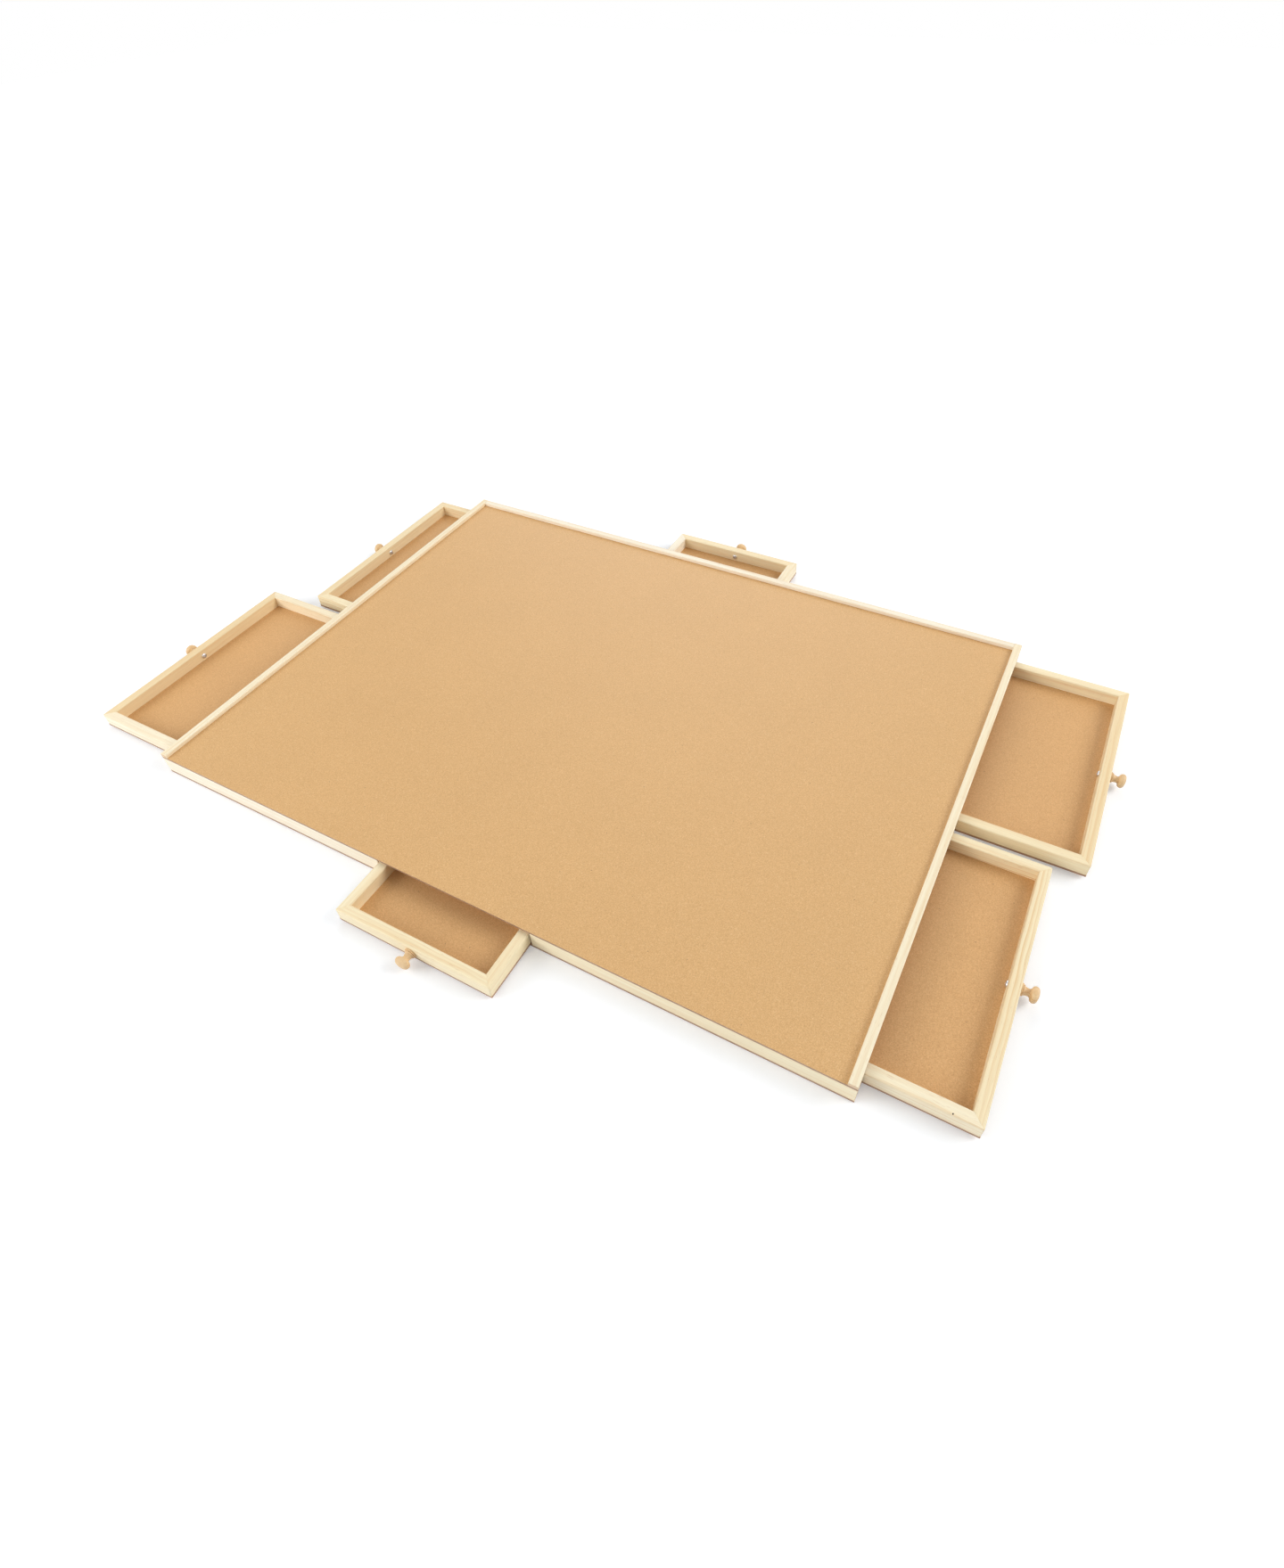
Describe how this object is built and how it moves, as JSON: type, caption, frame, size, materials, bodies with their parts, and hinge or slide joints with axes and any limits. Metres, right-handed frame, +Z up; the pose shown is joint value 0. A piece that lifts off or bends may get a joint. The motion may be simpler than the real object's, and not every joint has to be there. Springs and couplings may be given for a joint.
{
  "type": "jigsaw puzzle table",
  "caption": "Low tabletop board for jigsaw puzzles: a lipped hardboard work surface over a shallow pine frame, with sorting drawers that slide out of every edge.",
  "frame": {"origin": "centre of the base panel's underside", "axes": "+X to the right along the front edge, +Y to the back, +Z up through the work surface"},
  "size_m": [1.2045, 0.826, 0.0325],
  "materials": {
    "pine": "sanded, clear satin, fine straight grain",
    "knob_wood": "turned and sanded, satin",
    "hardboard": "smooth pressed fibre, matt",
    "steel": "zinc plated, satin"
  },
  "bodies": {
    "board": {"back_lip": "pine", "back_rail_left": "pine", "back_rail_right": "pine", "base_brads": "steel", "base_panel": "hardboard", "bay_wall_left": "pine", "bay_wall_right": "pine", "centre_divider": "pine", "front_rail_left": "pine", "front_rail_right": "pine", "left_lip": "pine", "right_lip": "pine", "side_divider_left": "pine", "side_divider_right": "pine", "work_surface": "hardboard"},
    "left_front_drawer": {"left_front_drawer_back": "pine", "left_front_drawer_face": "pine", "left_front_drawer_far_side": "pine", "left_front_drawer_floor": "hardboard", "left_front_drawer_knob": "knob_wood", "left_front_drawer_near_side": "pine", "left_front_drawer_screw": "steel"},
    "left_back_drawer": {"left_back_drawer_back": "pine", "left_back_drawer_face": "pine", "left_back_drawer_far_side": "pine", "left_back_drawer_floor": "hardboard", "left_back_drawer_knob": "knob_wood", "left_back_drawer_near_side": "pine", "left_back_drawer_screw": "steel"},
    "right_front_drawer": {"right_front_drawer_back": "pine", "right_front_drawer_face": "pine", "right_front_drawer_far_side": "pine", "right_front_drawer_floor": "hardboard", "right_front_drawer_knob": "knob_wood", "right_front_drawer_near_side": "pine", "right_front_drawer_screw": "steel"},
    "right_back_drawer": {"right_back_drawer_back": "pine", "right_back_drawer_face": "pine", "right_back_drawer_far_side": "pine", "right_back_drawer_floor": "hardboard", "right_back_drawer_knob": "knob_wood", "right_back_drawer_near_side": "pine", "right_back_drawer_screw": "steel"},
    "front_drawer": {"front_drawer_back": "pine", "front_drawer_face": "pine", "front_drawer_floor": "hardboard", "front_drawer_knob": "knob_wood", "front_drawer_left_side": "pine", "front_drawer_right_side": "pine", "front_drawer_screw": "steel"},
    "back_drawer": {"back_drawer_back": "pine", "back_drawer_face": "pine", "back_drawer_floor": "hardboard", "back_drawer_knob": "knob_wood", "back_drawer_left_side": "pine", "back_drawer_right_side": "pine", "back_drawer_screw": "steel"}
  },
  "joints": [
    {"name": "left_front_slide", "type": "slide", "parent": "board", "child": "left_front_drawer", "axis": [-1, 0, 0], "range_m": [-0.1405, 0.115]},
    {"name": "left_back_slide", "type": "slide", "parent": "board", "child": "left_back_drawer", "axis": [-1, 0, 0], "range_m": [-0.073, 0.1825]},
    {"name": "right_front_slide", "type": "slide", "parent": "board", "child": "right_front_drawer", "axis": [1, 0, 0], "range_m": [-0.105, 0.1505]},
    {"name": "right_back_slide", "type": "slide", "parent": "board", "child": "right_back_drawer", "axis": [1, 0, 0], "range_m": [-0.14, 0.1155]},
    {"name": "front_slide", "type": "slide", "parent": "board", "child": "front_drawer", "axis": [0, -1, 0], "range_m": [-0.067, 0.176]},
    {"name": "back_slide", "type": "slide", "parent": "board", "child": "back_drawer", "axis": [0, 1, 0], "range_m": [-0.064, 0.184]}
  ]
}
